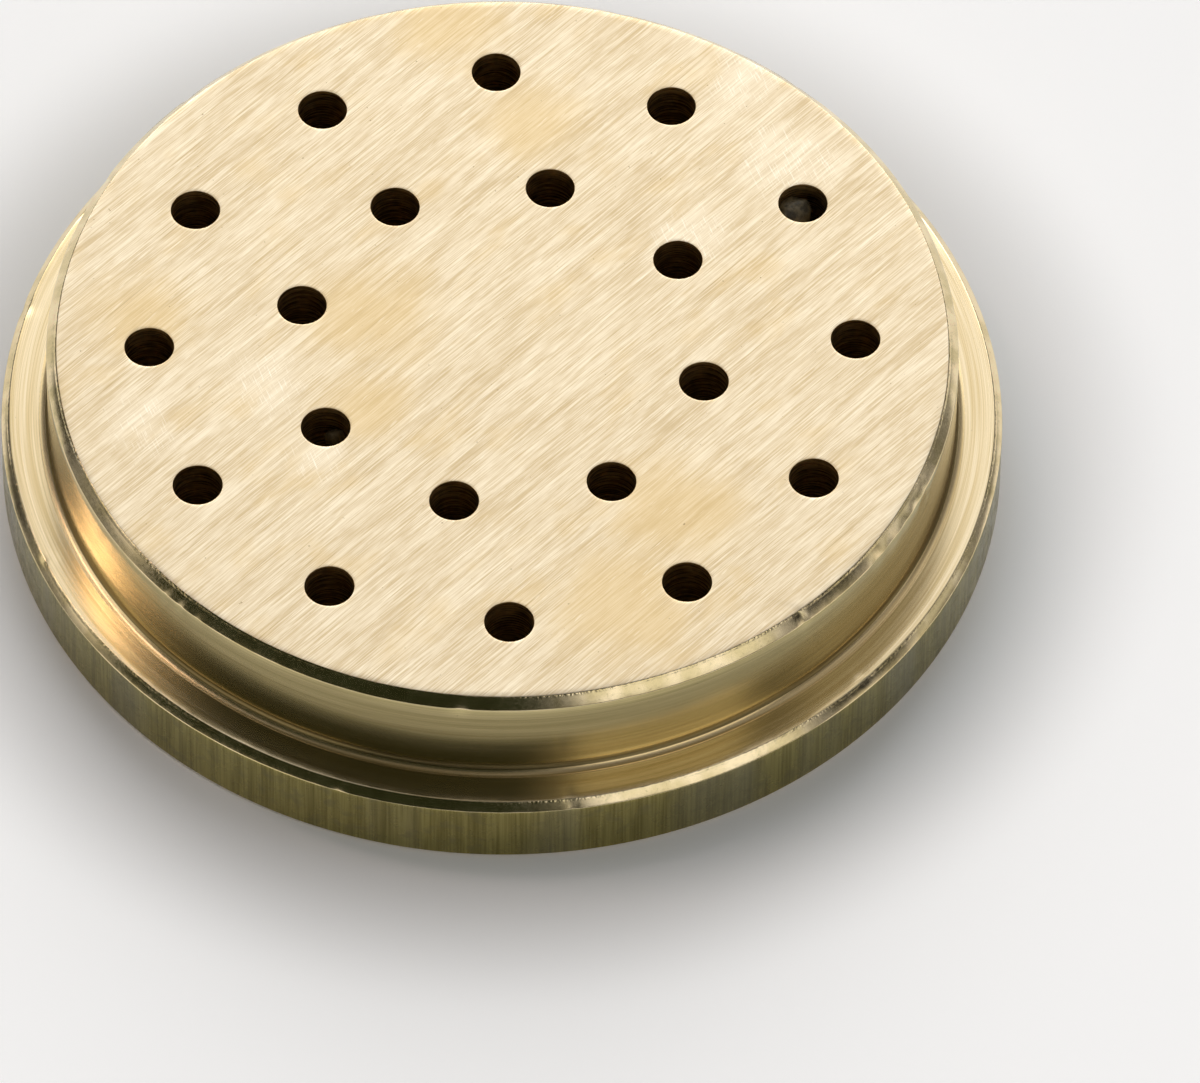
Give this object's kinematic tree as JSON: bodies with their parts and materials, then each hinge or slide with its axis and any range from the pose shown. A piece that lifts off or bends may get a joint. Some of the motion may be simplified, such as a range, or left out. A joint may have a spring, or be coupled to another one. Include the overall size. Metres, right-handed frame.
{
  "type": "pasta extrusion die",
  "caption": "Flanged round bronze die with two circles of drilled orifices that shape dough into thick round pasta strands when it is clamped in an extruder's outlet.",
  "frame": {"origin": "centre of the inlet face, on the plane that the die lies on", "axes": "+Z along the die's axis from the inlet face to the outlet face, +X through the first orifice of the outer circle"},
  "size_m": [0.057, 0.057, 0.0105],
  "materials": {
    "bronze": "sanded outlet face, turned boss and shoulder, drawn bar skin on the flange"
  },
  "bodies": {
    "root": {"pasta_die": "bronze"}
  },
  "joints": []
}
